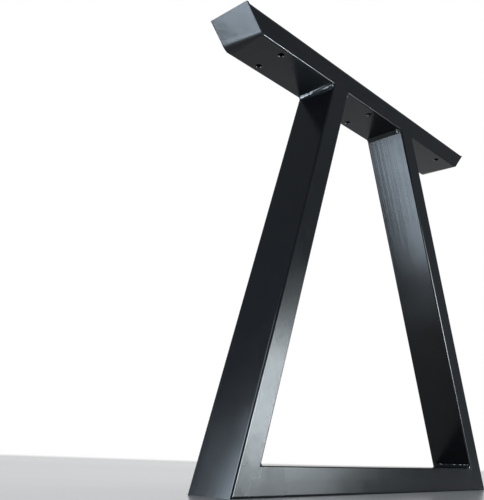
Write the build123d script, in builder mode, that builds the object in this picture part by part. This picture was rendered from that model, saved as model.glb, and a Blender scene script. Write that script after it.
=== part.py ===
from build123d import *
import os
from math import atan, cos, pi, sin, sqrt, tan

# Trapezoid table leg, welded from one size of rectangular steel tube.
# X runs along the rails, Y from front to back, Z up from the floor. The origin is the middle of the foot.

# Overall sizes of the frame, in millimetres
height = 720.0  # floor to the face that carries the table top
foot_width = 721.0  # over both legs, at the floor
shoulder_width = 267.0  # over both legs, where they meet the top rail
rail_length = 726.0  # along the upper face of the top rail
rail_end_run = 38.0  # how far each end leans in from the upper face to the underside

# Tube, the same for both rails and both legs
tube_depth = 80.0  # wide side, front to back
tube_width = 40.0  # narrow side, in the plane of the frame
tube_wall = 2.0
tube_corner = 3.0  # outside corner radius

# Plates that close the top rail: square at their corners, so they stand out past the tube's round ones
end_plate_thickness = 3.0
end_edge_front_radius = 9.0  # lower edge of the closed end, ground round by hand: less at the front
end_edge_back_radius = 28.0  # and more at the back
end_edge_proud = 0.02  # how much short of both faces the grinding stops, which leaves a faint line

# Screw holes: small in the upper wall, larger below for the screw head and the driver
screw_pairs = 3
screw_pitch = 262.0  # from pair to pair, along the rail
screw_spacing = 50.0  # across the rail, within a pair
screw_hole_diameter = 7.0
access_hole_diameter = 11.0
access_rim = 0.6  # edge broken round each access hole

# Fillet welds: two sides on the tubes and a round face, with ripples where the weld pool froze
shoulder_weld_size = 6.0  # side of the bead at the top of a leg
foot_weld_size = 5.0  # side of the bead in the corner of the foot
weld_crown = 0.7  # rise of the face above a flat one, in the hollow of a ripple
weld_ripple_rise = 0.6  # how much higher the crest of a ripple stands
weld_ripple_pitch = 6.0

# Worked out from the sizes above
rail_underside = height - tube_width
rail_middle = height - tube_width / 2
lean = atan((foot_width - shoulder_width) / 2 / rail_underside)  # of the legs, from upright
leg_run = tube_width / cos(lean)  # width of a leg, measured level
mitre_angle = (pi / 2 - lean) / 2  # of the joint at the foot, from the floor
foot_inner_half = foot_width / 2 - tube_width / tan(mitre_angle)  # inner corner of the foot
flat_depth = tube_depth - 2 * tube_corner  # flat part of the tube's wide side
end_turn = atan(tube_width / rail_end_run)  # of the closed end, from the underside
grind_rate = (end_edge_back_radius - end_edge_front_radius) / tube_depth  # of the radius, from front to back
grind_runout = tube_depth / 2 + end_edge_front_radius / grind_rate  # middle to where it would end
grind_reach = tube_depth / 2 + tube_wall  # past the front and the back of the rail
sides = ((-1, "left"), (1, "right"))


def tube_outline():
    """Sketch the outside of the tube's section."""
    RectangleRounded(tube_depth, tube_width, tube_corner)


def tube_bore(mode=Mode.ADD):
    """Sketch the inside of the tube's section."""
    bore_depth = tube_depth - 2 * tube_wall
    bore_width = tube_width - 2 * tube_wall
    RectangleRounded(bore_depth, bore_width, tube_corner - tube_wall, mode=mode)


def end_seat(side):
    """Plane that an end plate sits on, facing out of the rail."""
    outer = Plane(origin=(side * rail_length / 2, 0, height), z_dir=(side * tube_width, 0, -rail_end_run))
    return outer.offset(-end_plate_thickness)


def mitre(side):
    """Plane of the joint between a leg and the bottom rail, facing the leg."""
    outer_corner = (side * foot_width / 2, 0, 0)
    return Plane(origin=outer_corner, z_dir=(side * sin(mitre_angle), 0, cos(mitre_angle)))


def leg_section_plane(side):
    """Plane square to a leg, low enough to give stock for the mitre."""
    middle = (side * (foot_width - leg_run) / 2, 0, 0)
    up_leg = (-side * sin(lean), 0, cos(lean))
    return Plane(origin=middle, x_dir=(0, 1, 0), z_dir=up_leg).offset(-tube_width)


def down_leg(side):
    """Direction down along a leg, in the plane of the frame."""
    return Vector(side * sin(lean), -cos(lean))


def fillet_weld(root, first, second, size):
    """Rippled weld bead in the corner at root, with sides of this size along two tubes."""
    outward = (first + second).normalized()
    toe_distance = (first * size).dot(outward)
    half_chord = (first * size - outward * toe_distance).length
    face_radius = (half_chord**2 + weld_crown**2) / (2 * weld_crown)
    middle = root + outward * (toe_distance + weld_crown - face_radius)
    ripples = round(flat_depth / weld_ripple_pitch)
    pitch = flat_depth / ripples
    outline = [(0, 0)]
    for ripple in range(ripples):
        outline.append((face_radius + weld_ripple_rise, ripple * pitch))
        outline.append((face_radius, (ripple + 1) * pitch))
    outline.append((0, flat_depth))
    turning = Plane(origin=(middle.X, -flat_depth / 2, middle.Y))
    with BuildPart() as bead:
        with BuildSketch(turning):
            with BuildLine():
                Polyline(*outline, close=True)
            make_face()
        revolve(axis=Axis(turning.origin, turning.y_dir))
        beyond_toe = 2 * size  # clear of the bead's face
        with BuildSketch(Plane.XZ):
            with BuildLine():
                Polyline(root, root + first * beyond_toe, root + second * beyond_toe, close=True)
            make_face()
        extrude(amount=tube_depth / 2, both=True, mode=Mode.INTERSECT)
    return bead.part


def write(part, name):
    """Label a finished piece and write it."""
    part.label = name
    export_step(part, f"parts/{name}.step")


os.makedirs("parts", exist_ok=True)

# What grinding takes off the lower end edges: a wedge round the corner, less a cone that touches both faces
with BuildPart() as ground_off:
    for side, _ in sides:
        corner = Vector(side * (rail_length / 2 - rail_end_run), rail_underside)
        along_underside = Vector(-side, 0)
        up_end = Vector(side * rail_end_run, tube_width).normalized()
        inward = (along_underside + up_end).normalized() / cos(end_turn / 2)
        for reach in (-grind_reach, grind_reach):
            radius = (grind_runout + reach) * grind_rate
            middle = corner + inward * radius
            on_underside = corner + along_underside * radius * tan(end_turn / 2)
            on_end = corner + up_end * radius * tan(end_turn / 2)
            with BuildSketch(Plane.XZ.offset(-reach)):
                with BuildLine():
                    Polyline(middle, on_underside * 2 - middle, on_end * 2 - middle, close=True)
                make_face()
        loft(ruled=True)
        axis = Vector(inward.X * grind_rate, 1, inward.Y * grind_rate)
        cone_length = (grind_runout + tube_depth) * axis.length
        cone_radius = cone_length * grind_rate / sqrt(axis.length**2 - grind_rate**2)
        tip = corner - inward * end_edge_proud
        with Locations(Plane(origin=(tip.X, -grind_runout, tip.Y), z_dir=axis)):
            from_tip = (Align.CENTER, Align.CENTER, Align.MIN)
            Cone(0, cone_radius, cone_length, align=from_tip, mode=Mode.SUBTRACT)

# Top rail: a tube cut to sit between the end plates, with its screw holes
with BuildPart() as top_rail:
    with BuildSketch(Plane.YZ):
        with Locations((0, rail_middle)):
            tube_outline()
            tube_bore(Mode.SUBTRACT)
    extrude(amount=rail_length / 2, both=True)
    for side, _ in sides:
        split(bisect_by=end_seat(side), keep=Keep.BOTTOM)
    add(ground_off.part, mode=Mode.SUBTRACT)
    with Locations(Plane.XY.offset(height)):
        with GridLocations(screw_pitch, screw_spacing, screw_pairs, 2):
            Hole(screw_hole_diameter / 2, depth=tube_width / 2)
    with Locations(Plane(origin=(0, 0, rail_underside), z_dir=(0, 0, -1))):
        with GridLocations(screw_pitch, screw_spacing, screw_pairs, 2):
            Hole(access_hole_diameter / 2, depth=tube_width / 2)
    underside = top_rail.faces().filter_by(GeomType.PLANE).filter_by(Axis.Z).sort_by(Axis.Z)[0]
    chamfer(underside.inner_wires().edges(), length=access_rim)
write(top_rail.part, "top_rail")

# End plates: slices off the ends of a block as deep as the tube, ground together with the rail
for side, name in sides:
    with BuildPart() as end_plate:
        with BuildSketch(Plane.XZ):
            with BuildLine():
                Polyline(
                    (0, height),
                    (side * rail_length / 2, height),
                    (side * (rail_length / 2 - rail_end_run), rail_underside),
                    (0, rail_underside),
                    close=True,
                )
            make_face()
        extrude(amount=tube_depth / 2, both=True)
        split(bisect_by=end_seat(side), keep=Keep.TOP)
        add(ground_off.part, mode=Mode.SUBTRACT)
    write(end_plate.part, f"{name}_end_plate")

# Bottom rail: lies on the floor and is mitred to both legs
with BuildPart() as bottom_rail:
    with BuildSketch(Plane.YZ):
        with Locations((0, tube_width / 2)):
            tube_outline()
            tube_bore(Mode.SUBTRACT)
    extrude(amount=foot_width / 2, both=True)
    for side, _ in sides:
        split(bisect_by=mitre(side), keep=Keep.BOTTOM)
write(bottom_rail.part, "bottom_rail")

# Legs: cut flat under the top rail and mitred at the foot
for side, name in sides:
    with BuildPart() as leg:
        with BuildSketch(leg_section_plane(side)):
            tube_outline()
            tube_bore(Mode.SUBTRACT)
        extrude(amount=height / cos(lean) + tube_width)
        split(bisect_by=Plane.XY.offset(rail_underside), keep=Keep.BOTTOM)
        split(bisect_by=mitre(side), keep=Keep.TOP)
    write(leg.part, f"{name}_leg")

# Weld beads: across both wide sides of each leg at the top rail, and in the inner corner of the foot
for side, name in sides:
    along_rail = Vector(side, 0)
    outer_corner = Vector(side * shoulder_width / 2, rail_underside)
    inner_corner = outer_corner - along_rail * leg_run
    foot_corner = Vector(side * foot_inner_half, tube_width)
    outer_weld = fillet_weld(outer_corner, along_rail, down_leg(side), shoulder_weld_size)
    inner_weld = fillet_weld(inner_corner, -along_rail, down_leg(side), shoulder_weld_size)
    foot_weld = fillet_weld(foot_corner, -along_rail, -down_leg(side), foot_weld_size)
    write(outer_weld, f"{name}_leg_outer_weld")
    write(inner_weld, f"{name}_leg_inner_weld")
    write(foot_weld, f"{name}_foot_weld")

# Ground welds: fill the groove between the rail's rounded long edge and the end of each leg, flush with both
for side, name in sides:
    for face, face_name in ((-1, "front"), (1, "back")):
        with BuildPart() as ground_weld:
            with BuildSketch(Plane.YZ.offset(side * shoulder_width / 2)):
                with BuildLine():
                    corner = Vector(face * tube_depth / 2, rail_underside)
                    up_face = corner + Vector(0, tube_corner)
                    in_under = corner - Vector(face * tube_corner, 0)
                    Line(corner, up_face)
                    RadiusArc(up_face, in_under, face * tube_corner)
                    Line(in_under, corner)
                make_face()
            extrude(amount=-side * leg_run)
        write(ground_weld.part, f"{name}_leg_{face_name}_weld")
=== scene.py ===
# %% [markdown]
# # A steel table leg in satin black powder coat
# Two legs of rectangular tube lean in from a bottom rail to a top rail that reaches out past them.
# All of it is welded, ground where a weld would show on a flat, and powder coated in one go. This
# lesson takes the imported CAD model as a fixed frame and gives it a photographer's stage, light and
# finish. The frame could be modelled again in Blender, but then two models would have to agree.

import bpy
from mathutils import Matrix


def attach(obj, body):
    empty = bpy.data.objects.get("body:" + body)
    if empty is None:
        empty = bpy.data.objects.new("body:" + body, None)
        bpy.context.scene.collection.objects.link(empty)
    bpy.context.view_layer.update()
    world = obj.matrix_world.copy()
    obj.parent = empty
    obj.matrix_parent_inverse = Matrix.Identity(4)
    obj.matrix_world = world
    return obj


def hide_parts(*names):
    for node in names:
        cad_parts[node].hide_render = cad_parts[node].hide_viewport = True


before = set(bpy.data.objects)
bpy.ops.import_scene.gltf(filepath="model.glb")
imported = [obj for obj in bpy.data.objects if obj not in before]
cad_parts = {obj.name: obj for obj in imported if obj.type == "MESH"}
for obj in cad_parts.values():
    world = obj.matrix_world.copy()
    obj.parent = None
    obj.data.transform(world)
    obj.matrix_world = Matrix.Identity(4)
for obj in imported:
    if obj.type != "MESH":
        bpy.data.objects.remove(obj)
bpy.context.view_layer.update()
print("CAD nodes:", ", ".join(sorted(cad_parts)))

# %% [markdown]
# ## The camera
# The picture was taken close to the floor, from the left and a little in front, with the camera
# turned up at the rail. A low camera is why the underside of the rail shows and its top does not.
# A camera could be aimed with a Track To constraint, but the slight roll of a hand-held picture
# would be lost, so three turns are multiplied: heading, tilt and roll.

# %% Camera
import math

import bpy
from mathutils import Matrix, Vector

scene = bpy.context.scene
stand = (-0.98796, -0.64495, 0.05521)  # where the camera is, in metres
heading = math.radians(46.285)  # from the Y axis towards the X axis
tilt = math.radians(16.879)  # up from level
roll = math.radians(1.921)
aim = Matrix.Rotation(-heading, 4, "Z") @ Matrix.Rotation(math.pi / 2 + tilt, 4, "X")
camera_data = bpy.data.cameras.new("camera")
camera_data.sensor_fit = "AUTO"
camera_data.sensor_width = 36.0
camera_data.lens = 48.07
camera_data.clip_end = 60.0
camera = bpy.data.objects.new("camera", camera_data)
camera.matrix_world = Matrix.Translation(stand) @ aim @ Matrix.Rotation(roll, 4, "Z")
scene.collection.objects.link(camera)
scene.camera = camera
scene.view_settings.view_transform = "Standard"
print("camera stands", round(stand[2] * 1000), "mm above the floor, with a lens of", camera_data.lens, "mm")

# %% [markdown]
# ## Colours and nodes
# Paint makers give colours as hex codes, which are sRGB values, while the shader adds light up in
# linear values. One function turns the first into the second. Another adds a node with its settings
# and its links in one line, which keeps the material cells short. An input whose name starts with
# an underscore and a number is the socket in that place, for nodes whose sockets share a name.

# %% Helpers for colours and nodes


def linear(code, alpha=1.0):
    """An sRGB hex code as linear red, green, blue and alpha."""
    parts = [int(code[i:i + 2], 16) / 255 for i in (1, 3, 5)]
    return tuple(p / 12.92 if p <= 0.04045 else ((p + 0.055) / 1.055) ** 2.4 for p in parts) + (alpha,)


def add(tree, kind, settings=None, **inputs):
    """A node of that kind. Settings are its properties; an input is a value or another node's socket."""
    node = tree.nodes.new("ShaderNode" + kind)
    for name, value in (settings or {}).items():
        setattr(node, name, value)
    for name, value in inputs.items():
        socket = node.inputs[int(name[1:])] if name[1:].isdigit() else node.inputs[name.replace("_", " ")]
        if isinstance(value, bpy.types.NodeSocket):
            tree.links.new(value, socket)
        else:
            socket.default_value = value
    return node


def new_material(name):
    """An empty node material, its tree and its output node."""
    material = bpy.data.materials.new(name)
    material.use_nodes = True
    material.node_tree.nodes.clear()
    return material, material.node_tree, add(material.node_tree, "OutputMaterial")


print("the middle grey #808080 is", round(linear("#808080")[0], 3), "in linear values")

# %% [markdown]
# ## Sheets for the stage
# The floor and the backdrop are both plain sheets. A plane primitive could be bent with modifiers,
# but rows of points joined by quads give a flat sheet and a curved one with the same few lines. A
# studio is white to the lens and in shiny things, yet it must not light the object like a lamp.
# The Light Path node tells these rays apart.

# %% Helpers for the stage
import bmesh

mm = 0.001  # in metres


def grid_object(name, rows, material):
    """A smooth sheet of quads through rows of points."""
    shape = bmesh.new()
    lines = [[shape.verts.new(point) for point in row] for row in rows]
    for low, high in zip(lines, lines[1:]):
        for i in range(len(low) - 1):
            shape.faces.new((low[i], low[i + 1], high[i + 1], high[i])).smooth = True
    mesh = bpy.data.meshes.new(name)
    shape.to_mesh(mesh)
    shape.free()
    mesh.materials.append(material)
    made = bpy.data.objects.new(name, mesh)
    scene.collection.objects.link(made)
    print(name, "has", len(mesh.polygons), "faces and is", material.name)
    return made


def seen_directly(tree):
    """One for what is seen, straight or in a mirror or through glass, and nothing for soft light."""
    ray = add(tree, "LightPath").outputs
    seen = add(tree, "Math", {"operation": "MAXIMUM"}, _0=ray["Is Camera Ray"], _1=ray["Is Glossy Ray"])
    seen = add(tree, "Math", {"operation": "MAXIMUM"}, _0=seen.outputs[0], _1=ray["Is Transmission Ray"])
    return seen.outputs[0]


# %% [markdown]
# ## The floor
# The object stands on a pale grey board with a satin lacquer. Seen as low as this, at a few degrees,
# lacquer acts as a mirror, so the board takes on the white of the backdrop in the picture, while the
# steel above looks down at it steeply and sees its quiet grey. A rough floor could not do both.
# Towards the backdrop the board turns paler and then white, so that no line shows where they meet.

# %% Floor board
ahead = (math.sin(heading), math.cos(heading), 0.0)  # the way the camera looks, level
paler_from, paler_to = 0.8, 2.0  # metres beyond the object
white_from, white_to = 2.3, 3.4

board, tree, out = new_material("pale grey board with a satin lacquer")
place = add(tree, "TexCoord").outputs["Object"]
# The painted tone has faint clouds as wide as a roller, 160 mm, which keep the board from looking empty.
cloud = add(tree, "TexNoise", Vector=place, Scale=1 / (160 * mm), Detail=4.0)
tone = add(tree, "MixRGB", Fac=cloud.outputs[0], Color1=linear("#d0d2d4"), Color2=linear("#d6d8da"))
away = add(tree, "VectorMath", {"operation": "DOT_PRODUCT"}, _0=place, _1=ahead)
far = add(tree, "MapRange", {"interpolation_type": "SMOOTHSTEP"}, Value=away.outputs["Value"],
          From_Min=paler_from, From_Max=paler_to)
tone = add(tree, "MixRGB", Fac=far.outputs[0], Color1=tone.outputs[0], Color2=linear("#f4f4f4"))
# Satin lacquer gives the eye a soft mirror that fades with depth.
surface = add(tree, "BsdfPrincipled", Base_Color=tone.outputs[0], Roughness=0.22, IOR=1.5)
horizon = add(tree, "MapRange", {"interpolation_type": "SMOOTHSTEP"}, Value=away.outputs["Value"],
              From_Min=white_from, From_Max=white_to)
white_part = add(tree, "Math", {"operation": "MULTIPLY"}, _0=seen_directly(tree), _1=horizon.outputs[0])
white = add(tree, "Emission", Strength=1.0)
mixed = add(tree, "MixShader", Fac=white_part.outputs[0], _1=surface.outputs[0], _2=white.outputs[0])
tree.links.new(mixed.outputs[0], out.inputs["Surface"])

steps = [-8.0, -4.0, -2.0, -1.0, 0.0, 1.0, 2.0, 4.0, 8.0]  # metres
floor = grid_object("floor_board", [[Vector((x, y, 0.0)) for x in steps] for y in steps], board)

# %% [markdown]
# ## The backdrop
# Behind the object stands a curved white screen, as in any small studio. The world could be white
# instead, but then every dark face would mirror it. A screen is white only where it stands: to the
# lens and in reflections it has the strength of white paper and no more, and it lights nothing.

# %% Backdrop
screen_radius = 4.0  # metres
screen_turns = [heading + math.radians(turn) for turn in range(-40, 41, 4)]
screen_heights = (0.0, 1.0, 2.0, 3.0, 4.0, 5.0)

screen, tree, out = new_material("white backdrop screen")
# Matt white cloth has no gloss at all: the eye sees no shape in it, only white.
cloth = add(tree, "BsdfDiffuse", Color=linear("#f2f2f2"))
white = add(tree, "Emission", Strength=1.0)
mixed = add(tree, "MixShader", Fac=seen_directly(tree), _1=cloth.outputs[0], _2=white.outputs[0])
tree.links.new(mixed.outputs[0], out.inputs["Surface"])

rows = [[Vector((math.sin(a) * screen_radius, math.cos(a) * screen_radius, up)) for a in screen_turns]
        for up in screen_heights]
backdrop = grid_object("backdrop", rows, screen)

# %% [markdown]
# ## Soft boxes
# Black paint has almost no colour of its own: what the eye reads on it is the room. So each bright
# patch in the picture is a lamp with a place and a size. A point or a sun lamp would draw hard dots,
# and an area lamp draws the broad, soft-edged patches of a soft box. On a set, black cards called
# flags keep a lamp off the floor. Light linking does the same: the floor is left out of the lamp's
# receivers, so no pool of light shows on it. It is left out of the lamp's blockers too, because one
# lamp of the front light reaches below the floor.

# %% Helper for soft boxes
flagged = bpy.data.collections.new("kept_off_the_floor")
flagged.objects.link(floor)
flagged.collection_objects[0].light_linking.link_state = "EXCLUDE"


def soft_box(name, middle, target, width, height, radiance, colour, flag=True):
    """A rectangular lamp that faces a point. Radiance 1 is the brightness of white paper."""
    lamp = bpy.data.lights.new(name, "AREA")
    lamp.shape = "RECTANGLE"
    lamp.size = width
    lamp.size_y = height
    lamp.energy = radiance * math.pi * width * height
    lamp.color = colour
    holder = bpy.data.objects.new(name, lamp)
    facing = Vector(target) - Vector(middle)
    holder.matrix_world = Matrix.Translation(middle) @ facing.to_track_quat("-Z", "Y").to_matrix().to_4x4()
    holder.visible_camera = False
    if flag:
        holder.light_linking.receiver_collection = flagged
        holder.light_linking.blocker_collection = flagged
    scene.collection.objects.link(holder)
    print(name, "at", [round(v, 2) for v in middle], "radiance", radiance)
    return holder


# %% [markdown]
# ## The front light
# A soft box low on the right draws the bright fronts of the left leg and the bottom rail. A real one
# is brightest in its middle and falls off towards its rim. One lamp has a hard rim, so four are
# nested and add up to that fall-off. A shiny floor would mirror the box below the floor line. The
# flags take that away, so the second lamp goes on below the floor instead. The fifth goes on to the
# left, where only the rounded edges of the tubes see it and draw it as thin bright lines.

# %% Front light
front_white = (0.88, 0.98, 1.03)  # a cool lamp
front_box = Vector((0.70, -0.95, 0.0))
front_side = Vector((0.689, 0.725, 0.0))  # along the plane of the front light
front_facing = Vector((-0.725, 0.689, 0.0))
front_boxes = (  # left and right end along the plane, low and top height in metres, and radiance
    (-0.30, 0.12, 0.03, 0.40, 5.2),
    (-0.30, 0.24, -0.14, 0.465, 3.0),
    (-0.30, 0.32, 0.0, 0.54, 1.4),
    (-0.30, 0.40, 0.0, 0.66, 0.6),
    (-1.0, -0.30, 0.0, 0.48, 28.0),
)
for number, (left, right, low, top, radiance) in enumerate(front_boxes, start=1):
    middle = front_box + front_side * (left + right) / 2 + Vector((0, 0, (low + top) / 2))
    soft_box(f"front_soft_box_{number}", middle, middle + front_facing, right - left, top - low, radiance,
             front_white)

# %% [markdown]
# ## The other lights
# Two soft boxes behind on the left draw the gradients on the outer leg, the end plate and the right
# leg. A card on the floor lifts the underside of the rail, and a large box overhead, the only lamp
# that lights the floor, gives the floor its tone. Two small boxes have a grid, a honeycomb that lets
# light out in a narrow beam. One draws the line along the rail's lower edge, one the glints on the
# welds. Blender calls the width of the beam its spread and squeezes the whole power into it, so the
# radiance given here is that of the box without its grid.

# %% Other lights
back_white = (0.80, 0.95, 1.10)  # cooler than in front, as from a window
card_white = (0.85, 0.94, 1.0)
paper_white = (1.0, 1.0, 1.0)
edges = soft_box("front_gridded_box", (0.648, -1.004, 0.14), (-0.23, -0.04, 0.68), 0.25, 0.24, 1.0,
                 front_white)
edges.data.spread = math.radians(24.0)
soft_box("back_soft_box", (-0.991, 0.329, 0.305), (-0.134, -0.186, 0.305), 0.50, 0.51, 8.6, back_white)
soft_box("back_soft_box_upper", (-1.042, 0.243, 0.76), (-0.185, -0.272, 0.76), 0.30, 0.40, 8.0, back_white)
welds = soft_box("back_gridded_box", (-0.888, 0.501, 0.16), (-0.05, -0.02, 0.72), 0.22, 0.22, 0.16,
                 back_white)
welds.data.spread = math.radians(14.0)
soft_box("floor_card", (-0.70, 0.28, 0.01), (-0.70, 0.28, 1.0), 0.40, 0.50, 0.6, card_white)
soft_box("overhead_soft_box", (0.5, 0.1, 2.6), (0.4, 0.1, 0.0), 1.6, 1.4, 3.4, paper_white, flag=False)

# %% [markdown]
# ## The studio around
# The rest of the room is dim and a little cool. The dark faces mirror it, and it is what keeps them
# from going quite black. A picture of a room could be wrapped round the scene, but one even grey is
# as much as these faces show.

# %% Studio
world = bpy.data.worlds.new("dim studio")
world.use_nodes = True
world.node_tree.nodes["Background"].inputs["Color"].default_value = linear("#65696f")
world.node_tree.nodes["Background"].inputs["Strength"].default_value = 1.0
scene.world = world

# %% [markdown]
# ## Where the foot was ground
# At the mitres of the foot the weld on the front and the back is ground flush. The disc leaves soft
# waves and a dull haze under the coat, more on the left than on the right. A mask could be painted,
# but the place is simple to say: outside, low down, and on the flats. Each of these is a value from
# nothing to one, and their product is the mask.

# %% Mask of the ground foot
foot_reach = 0.30  # metres from the middle to where the ground mitres are at full strength
foot_fade = 0.08  # and how far they fade in
foot_height, foot_top = 0.04, 0.09  # full strength below the first, none above the second
flat_from = 0.0395  # only the flats in front and behind lie this far from the middle
right_share = 0.25  # strength at the right foot


def ground_foot(tree, place):
    """One on the ground flats of the foot and nothing elsewhere."""
    smooth = {"interpolation_type": "SMOOTHSTEP"}
    parts = add(tree, "SeparateXYZ", Vector=place).outputs
    side = add(tree, "Math", {"operation": "ABSOLUTE"}, _0=parts["X"])
    outer = add(tree, "MapRange", smooth, Value=side.outputs[0], From_Min=foot_reach - foot_fade,
                From_Max=foot_reach)
    low = add(tree, "MapRange", smooth, Value=parts["Z"], From_Min=foot_top, From_Max=foot_height)
    foot = add(tree, "Math", {"operation": "MULTIPLY"}, _0=outer.outputs[0], _1=low.outputs[0])
    depth = add(tree, "Math", {"operation": "ABSOLUTE"}, _0=parts["Y"])
    flat = add(tree, "Math", {"operation": "GREATER_THAN"}, _0=depth.outputs[0], _1=flat_from)
    foot = add(tree, "Math", {"operation": "MULTIPLY"}, _0=foot.outputs[0], _1=flat.outputs[0])
    ends = add(tree, "MapRange", Value=parts["X"], From_Min=-0.2, From_Max=0.2, To_Min=1.0,
               To_Max=right_share)
    foot = add(tree, "Math", {"operation": "MULTIPLY"}, _0=foot.outputs[0], _1=ends.outputs[0])
    return foot.outputs[0]


# %% [markdown]
# ## The powder coat on the tubes
# Powder is sprayed on dry and melted in an oven. It flows out almost flat, keeps a faint ripple that
# painters call orange peel, and shows what is under it: the lines along a drawn tube and the waves
# that a grinder leaves. A picture of each could be painted, but the coat is one black all over, so
# only its surface differs: bumps tilt the mirror, and the room does the rest. The right leg has the
# deepest draw lines, which break its bright patch into streaks.

# %% Coat on drawn tube
coat_black = linear("#0d0e10")  # jet black polyester powder
coat_ior = 1.5  # of the resin


def tube_coat(name, turn, line_depth):
    """Satin coat on a tube turned from upright by this angle, with draw lines of this depth in metres."""
    material, tree, out = new_material(name)
    place = add(tree, "TexCoord").outputs["Object"]
    # Draw lines are a few tenths of a millimetre wide. They are drawn 7 mm wide, or they would not show.
    along = add(tree, "Mapping", {"vector_type": "TEXTURE"}, Vector=place, Rotation=(0.0, turn, 0.0),
                Scale=(7 * mm, 7 * mm, 800 * mm))
    lines = add(tree, "TexNoise", Vector=along.outputs[0], Scale=1.0, Detail=3.0)
    drawn = add(tree, "Bump", Strength=1.0, Distance=line_depth, Height=lines.outputs[0])
    # Orange peel is 2.4 mm from crest to crest, which is a little over a pixel here.
    peel = add(tree, "TexNoise", Vector=place, Scale=1 / (2.4 * mm), Detail=2.0)
    peeled = add(tree, "Bump", Strength=1.0, Distance=0.012 * mm, Height=peel.outputs[0],
                 Normal=drawn.outputs[0])
    # A grinding disc leaves waves about as wide as the part of it that touches, 31 mm.
    foot = ground_foot(tree, place)
    wave = add(tree, "TexNoise", Vector=place, Scale=1 / (31.25 * mm), Detail=2.0, Roughness=0.45)
    ground = add(tree, "Bump", Strength=foot, Distance=0.5 * mm, Height=wave.outputs[0],
                 Normal=peeled.outputs[0])
    haze = add(tree, "MapRange", Value=wave.outputs[0], From_Min=0.42, From_Max=0.64, To_Max=0.25)
    hazed = add(tree, "Math", {"operation": "MULTIPLY"}, _0=haze.outputs[0], _1=foot)
    # The coat is thicker here and thinner there, in clouds of 42 mm, and its gloss goes with that.
    smear = add(tree, "TexNoise", Vector=place, Scale=1 / (42 * mm), Detail=4.0)
    satin = add(tree, "MapRange", Value=smear.outputs[0], From_Min=0.3, From_Max=0.7, To_Min=0.17,
                To_Max=0.21)
    rough = add(tree, "Math", {"operation": "ADD"}, _0=satin.outputs[0], _1=hazed.outputs[0])
    # Satin gives the eye lamps with soft rims, fading over a hand's breadth, and no sharp mirror image.
    surface = add(tree, "BsdfPrincipled", Base_Color=coat_black, Roughness=rough.outputs[0], IOR=coat_ior,
                  Normal=ground.outputs[0])
    tree.links.new(surface.outputs[0], out.inputs["Surface"])
    print(name, "has", len(tree.nodes), "nodes")
    return material


foot_width, shoulder_width, rail_height = 0.721, 0.267, 0.680  # metres: over both legs, and floor to rail
lean = math.atan((foot_width - shoulder_width) / 2 / rail_height)  # of the legs, from upright
rail_coat = tube_coat("satin black powder coat on the rails", math.pi / 2, 0.04 * mm)
left_coat = tube_coat("satin black powder coat on the left leg", lean, 0.04 * mm)
right_coat = tube_coat("satin black powder coat on the right leg", -lean, 0.14 * mm)

# %% [markdown]
# ## The powder coat on the end plates
# The end plates were ground all over before they were coated, so they have no draw lines, only the
# waves of the disc, with rough patches where the grit bit deeper. The same coat as on the tubes would
# look too clean. A bump inside a bump does it: waves everywhere, and grit only where a noise allows.

# %% Coat on ground plate
plate_coat, tree, out = new_material("satin black powder coat on ground plate")
place = add(tree, "TexCoord").outputs["Object"]
# The strokes of the disc are about 22 mm wide, and the patches with grit marks about 33 mm.
wave = add(tree, "TexNoise", Vector=place, Scale=1 / (22 * mm), Detail=3.0)
waved = add(tree, "Bump", Strength=1.0, Distance=0.3 * mm, Height=wave.outputs[0])
patch = add(tree, "TexNoise", Vector=place, Scale=1 / (33 * mm), Detail=2.0)
where = add(tree, "MapRange", Value=patch.outputs[0], From_Min=0.48, From_Max=0.62)
# Grit marks are half a millimetre wide. They are drawn at 2.6 mm, or they would not show.
grit = add(tree, "TexNoise", Vector=place, Scale=1 / (2.6 * mm), Detail=2.0)
pitted = add(tree, "Bump", Strength=where.outputs[0], Distance=0.2 * mm, Height=grit.outputs[0],
             Normal=waved.outputs[0])
# A little duller than the tubes: the eye sees a broad sheen with a grain in it.
surface = add(tree, "BsdfPrincipled", Base_Color=coat_black, Roughness=0.24, IOR=coat_ior,
              Normal=pitted.outputs[0])
tree.links.new(surface.outputs[0], out.inputs["Surface"])
print(plate_coat.name, "has", len(tree.nodes), "nodes")

# %% [markdown]
# ## The powder coat on the weld beads
# On a bead the powder runs off the crests and gathers in the hollows, thick and glossy. It could have
# the coat of the tubes, but satin would blur the small scales away. A smoother coat gives each scale
# its own glint.

# %% Coat on weld bead
bead_coat, tree, out = new_material("glossy black powder coat on a weld bead")
place = add(tree, "TexCoord").outputs["Object"]
# Pits and spatter are finer than half a millimetre. They are drawn at 1.4 mm, about a pixel here.
pits = add(tree, "TexNoise", Vector=place, Scale=1 / (1.4 * mm), Detail=2.0)
skin = add(tree, "Bump", Strength=1.0, Distance=0.04 * mm, Height=pits.outputs[0])
# Gloss gives the eye small, hard highlights. The thick coat mirrors a little more than the thin one.
surface = add(tree, "BsdfPrincipled", Base_Color=coat_black, Roughness=0.09, IOR=1.6, Normal=skin.outputs[0])
tree.links.new(surface.outputs[0], out.inputs["Surface"])
print(bead_coat.name, "has", len(tree.nodes), "nodes")

# %% [markdown]
# ## Coats on the CAD pieces
# The CAD pieces came with one plain material each. They stay where and as they are, and only the
# material in each slot changes. A welded front is ground flush with the rail and has the rail's coat.

# %% Coats on the frame
coats = {"left_leg": left_coat, "right_leg": right_coat, "top_rail": rail_coat, "bottom_rail": rail_coat,
         "left_end_plate": plate_coat, "right_end_plate": plate_coat}
for name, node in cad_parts.items():
    for slot in node.material_slots:
        slot.material = coats.get(name, rail_coat)
print("coated", len(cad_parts), "CAD pieces")

# %% [markdown]
# ## Solids from rings
# Beads, plates and hole rims are all one outline carried along a path and changed on its way. A curve
# with a bevel could do it while the outline stays the same. Here it doesn't, so the rings of points
# are worked out one by one and joined by quads, and the ends are closed by a cap each.

# %% Swept solids


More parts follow.
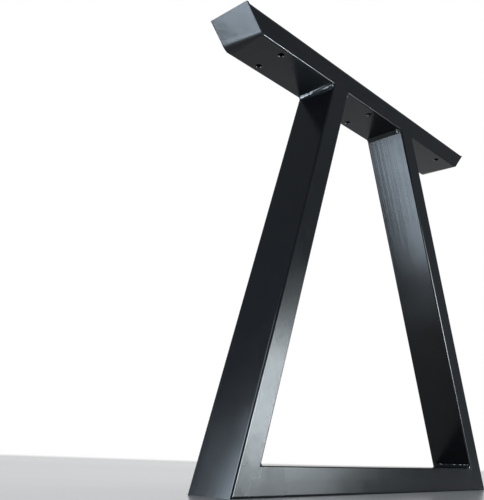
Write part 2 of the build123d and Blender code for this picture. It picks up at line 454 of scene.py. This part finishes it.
def swept(name, rings, material, creases=(), ends=True):
    """A closed solid through rings of points in millimetres. Creases are places in a ring that stay sharp."""
    shape = bmesh.new()
    loops = [[shape.verts.new(point * mm) for point in ring] for ring in rings]
    count = len(loops[0])
    pairs = zip(loops, loops[1:] if ends else loops[1:] + loops[:1])
    for here, after in pairs:
        for k in range(count):
            n = (k + 1) % count
            shape.faces.new((here[k], here[n], after[n], after[k])).smooth = True
        for k in creases:
            shape.edges.get((here[k], after[k])).smooth = False
    if ends:
        for loop in (loops[0], loops[-1]):
            cap = shape.faces.new(loop)
            for edge in cap.edges:
                edge.smooth = False
    bmesh.ops.recalc_face_normals(shape, faces=shape.faces)
    mesh = bpy.data.meshes.new(name)
    shape.to_mesh(mesh)
    shape.free()
    mesh.materials.append(material)
    piece = bpy.data.objects.new(name, mesh)
    scene.collection.objects.link(piece)
    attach(piece, "root")
    print(name, len(mesh.polygons), "faces")
    return piece


# %% [markdown]
# ## Weld beads
# A welder lays the bead down in small steps, so it freezes as a row of overlapping scales, swells
# where the torch starts and stops, and wanders a little. The CAD bead has the size and an even
# ripple. Here the same corner is filled with a bead whose section changes all along: a round face,
# scales, a second pass near the front and a ball at the end. A displaced cylinder would be quicker,
# but its ends and its contact with the tubes would be wrong. A place on the bead has two numbers: u
# goes across it, from nothing at one tube to one at the other, and y along it.

# %% Bead shape
from mathutils import noise

ridge = 0.66  # where across the bead its face stands highest
scale_pitch, scale_rise = 4.2, 0.24  # millimetres
ball_length = 4.6  # millimetres


def hump(value, centre, width):
    """A smooth bell, one at its centre."""
    return math.exp(-((value - centre) / width) ** 2)


def off_top(u, top):
    """How far u lies from the top, with one at either tube."""
    return (top - u) / top if u < top else (u - top) / (1 - top)


def bead_point(u, y, size, crown, seed, second_pass, balls):
    """Reach along both tubes and rise above the flat face, in millimetres, at a place on the bead."""
    # The face wanders over about 11 mm, the scales bow backwards, and the second pass has lumps of 2 mm.
    wander = noise.noise(Vector((y * 0.09, 3.1 * u, seed)))
    phase = y / scale_pitch + 0.9 * (u - 0.5) ** 2 + 0.5 * noise.noise(Vector((y * 0.05, 0.0, seed + 5.0)))
    scale = (phase % 1.0) ** 0.7
    lump = noise.noise(Vector((y * 0.55, 5.0 * u, seed + 9.0)))
    # The second pass lies over the front half only and runs slightly askew.
    front_half = 1 / (1 + math.exp((y - 2.0) / 4.0))
    strand = second_pass * front_half * hump(u, 0.42 + 0.0063 * y, 0.10)
    rise = crown * (1 - off_top(u, ridge) ** 1.5) * (1 + 0.10 * wander)
    rise += scale_rise * hump(u, 0.35, 0.26) * scale * math.sin(math.pi * u)
    rise += strand * (0.7 + 1.2 * lump + 0.5 * scale)
    for middle, height, top in balls:
        rise += height * math.exp(-((y - middle) / ball_length) ** 4) * (1 - off_top(u, top) ** 1.1)
    reach = size * (1 + 0.06 * noise.noise(Vector((y * 0.14, 0.0, seed + 2.0))))
    return reach, rise


print("rise of a plain bead at its ridge:", round(bead_point(ridge, 0.0, 6.0, 0.6, 0.0, 0.0, [])[1], 2), "mm")

# %% [markdown]
# ## A bead from end to end
# The section is carried along the corner and shrinks to a round end. Its two lower edges lie a little
# inside the tubes, so no gap shows. A Boolean could join bead and tubes, but a weld shows its edge.
# In the corner of the foot the bead is hollow, and its toes run out onto the tubes: a power above
# one bends the straight face into that.

# %% Bead along a corner
bead_half = 38.5  # millimetres, from the middle to the end of a bead
bead_end = 3.5  # length of its rounded end
bead_sunk, root_sunk = 0.15, 0.6  # how deep the face's edges and the root lie in the tubes
section_steps, length_steps = 20, 260


def weld_bead(name, node, root, first, second, size, crown, seed, second_pass, balls, toe=1.0):
    """A bead along Y in the corner at root, between two directions in the plane of the frame."""
    outward = (first + second).normalized()
    sunk = root - outward * root_sunk
    rings = []
    for j in range(length_steps + 1):
        y = bead_half * (2 * j / length_steps - 1)
        past = max(0.0, (abs(y) - bead_half + bead_end) / bead_end)
        taper = max(0.04, math.sqrt(max(0.0, 1 - past ** 2)))
        ring = []
        for k in range(section_steps + 1):
            u = k / section_steps
            reach, rise = bead_point(u, y, size, crown, seed, second_pass, balls)
            spot = root + (first * (1 - u) ** toe + second * u ** toe) * reach * taper
            spot += outward * (rise * taper - bead_sunk)
            ring.append(Vector((spot.x, y, spot.y)))
        ring.append(Vector((sunk.x, y, sunk.y)))
        rings.append(ring)
    piece = swept(name, rings, bead_coat, creases=(0, section_steps))
    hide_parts(node)


# %% [markdown]
# ## The six beads
# Each leg has a bead on both wide sides under the rail and one in the corner of the foot. They could
# be copies of one bead, but no two welds are alike, so each has a seed of its own. The outer ones
# have a second pass, and those under the rail end in a ball where the welder stopped. A ball is given
# as its place along the bead and its height, both in millimetres, and its place across the bead.

# %% Beads in their corners
tube_width = 40.0  # millimetres, in the plane of the frame
underside = 680.0  # of the top rail, above the floor
shoulder = 133.5  # from the middle to the outside of a leg, under the rail
foot_half = 360.5  # from the middle to the outside of the foot
foot_inside = foot_half - tube_width / math.tan((math.pi / 2 - lean) / 2)  # to the foot's inner corner
for side, word in ((-1, "left"), (1, "right")):
    along = Vector((side, 0.0))
    down = Vector((side * math.sin(lean), -math.cos(lean)))
    outer = Vector((side * shoulder, underside))
    inner = outer - along * tube_width / math.cos(lean)
    corner = Vector((side * foot_inside, tube_width))
    weld_bead(f"{word}_outer_bead", f"{word}_leg_outer_weld", outer, along, down, size=6.0, crown=0.6,
              seed=3.0 + side, second_pass=1.0, balls=[(-35.0, 0.9, 0.5)])
    weld_bead(f"{word}_inner_bead", f"{word}_leg_inner_weld", inner, -along, down, size=6.0, crown=0.2,
              seed=11.0 + side, second_pass=0.25, balls=[(-33.6, 3.5, 0.66)])
    weld_bead(f"{word}_foot_bead", f"{word}_foot_weld", corner, -along, -down, size=7.5, crown=0.15,
              seed=19.0 + side, second_pass=0.0, balls=[], toe=1.35)

# %% [markdown]
# ## End plates
# A plate closes each end of the rail. Its weld is ground flush and its lower edge is ground round
# with the rail, by hand, so there is no line where the flat ends: it bends slowly at first, more and
# more towards the edge, and wider at the back than at the front. The CAD edge is a cone that
# touches both flats. A curve with two handles across each section has the same ends and bends
# slowly, which lets the light fade over the edge.

# %% Section of an end plate
rail_half, end_run = 363.0, 38.0  # millimetres: half the rail, and how far its end leans in
plate = 3.0  # thickness
half_depth = 40.0  # of the rail, front to back
edge_front, edge_back = 9.0, 28.0  # radius of the ground edge
handle_share = 0.42  # length of a handle, as a share of the bend
end_turn = math.atan2(tube_width, end_run)
rail_top = underside + tube_width
face_steps, bend_steps = 8, 24


def plate_ring(side, y, depth):
    """Section of an end plate at y, its outer face set back by this depth."""
    radius = edge_front + (edge_back - edge_front) * (y + half_depth) / (2 * half_depth)
    corner = Vector((side * (rail_half - end_run), underside))
    down = Vector((-side * end_run, -tube_width)).normalized()
    out = Vector((side * tube_width, -end_run)).normalized()
    level = Vector((-side, 0.0))
    middle = corner + (level - down).normalized() * radius / math.cos(end_turn / 2)
    bend = min(math.acos(1 - plate / radius), end_turn)
    last = middle + (out * math.cos(bend) + down * math.sin(bend)) * radius
    leaving = down * math.cos(bend) - out * math.sin(bend)
    if bend == end_turn:
        last = corner + level * plate / math.sin(end_turn)
    first = corner - down * (radius * math.tan(end_turn / 2) + 1.0 + 0.35 * radius)
    handle = (last - first).length * handle_share
    top = Vector((side * rail_half, rail_top))
    back = level * depth / math.sin(end_turn)
    points = [top.lerp(first, k / face_steps) + back for k in range(face_steps)]
    for k in range(bend_steps + 1):
        t = k / bend_steps
        spot = first * (1 - t) ** 3 + (first + down * handle) * 3 * t * (1 - t) ** 2
        spot += (last - leaving * handle) * 3 * t ** 2 * (1 - t) + last * t ** 3
        points.append(spot + back * (1 - t))
    points.append(top + level * plate / math.sin(end_turn))
    return [Vector((p.x, y, p.y)) for p in points]


print("an end plate's section has", len(plate_ring(-1, 0.0, 0.0)), "points")

# %% [markdown]
# ## Both end plates
# The section is carried from front to back. At the upright edges it steps back in a quarter circle,
# because coat never covers a sharp edge: it draws off and leaves it soft. A Bevel modifier could round
# them, but it would round the edges against the rail too, where the plate has to fit.

# %% End plates with a ground edge
soft = 0.8  # millimetres, round of the plate's upright edges
round_edge = [math.pi / 2 * k / 5 for k in range(5)]
stations = [(-half_depth + soft * (1 - math.cos(a)), soft * (1 - math.sin(a))) for a in round_edge]
stations += [(-half_depth + soft + (2 * half_depth - 2 * soft) * k / 40, 0.0) for k in range(41)]
stations += [(half_depth - soft * (1 - math.cos(a)), soft * (1 - math.sin(a))) for a in reversed(round_edge)]
for side, word in ((-1, "left"), (1, "right")):
    rings = [plate_ring(side, y, depth) for y, depth in stations]
    last_point = face_steps + bend_steps
    piece = swept(f"{word}_ground_plate", rings, plate_coat, creases=(0, last_point, last_point + 1))
    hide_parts(f"{word}_end_plate")

# %% [markdown]
# ## Rims of the access holes
# A drill leaves a small flare, and the coat draws away from the sharp edge and gathers beside it as
# a soft lip. Round lips catch the lamps as two small glints under each hole. A Bevel modifier would
# soften every edge of the rail, so a lip is turned for each hole instead.

# %% Hole rims
lip = [(5.55, 1.88), (5.0, 1.8), (5.1, 1.35), (5.3, 0.9), (5.6, 0.45), (5.95, 0.1), (6.3, -0.1),
       (6.7, -0.16), (7.05, -0.06), (7.3, 0.08)]  # radius, and height above the underside, in millimetres
lip_steps = 48
turns = [2 * math.pi * k / lip_steps for k in range(lip_steps)]
for x, place in ((-262.0, "left"), (0.0, "middle"), (262.0, "right")):
    for y, row in ((-25.0, "front"), (25.0, "back")):
        middle = Vector((x, y, underside))
        rings = [[middle + Vector((r * math.cos(a), r * math.sin(a), h)) for r, h in lip] for a in turns]
        swept(f"{place}_{row}_hole_rim", rings, bead_coat, ends=False)
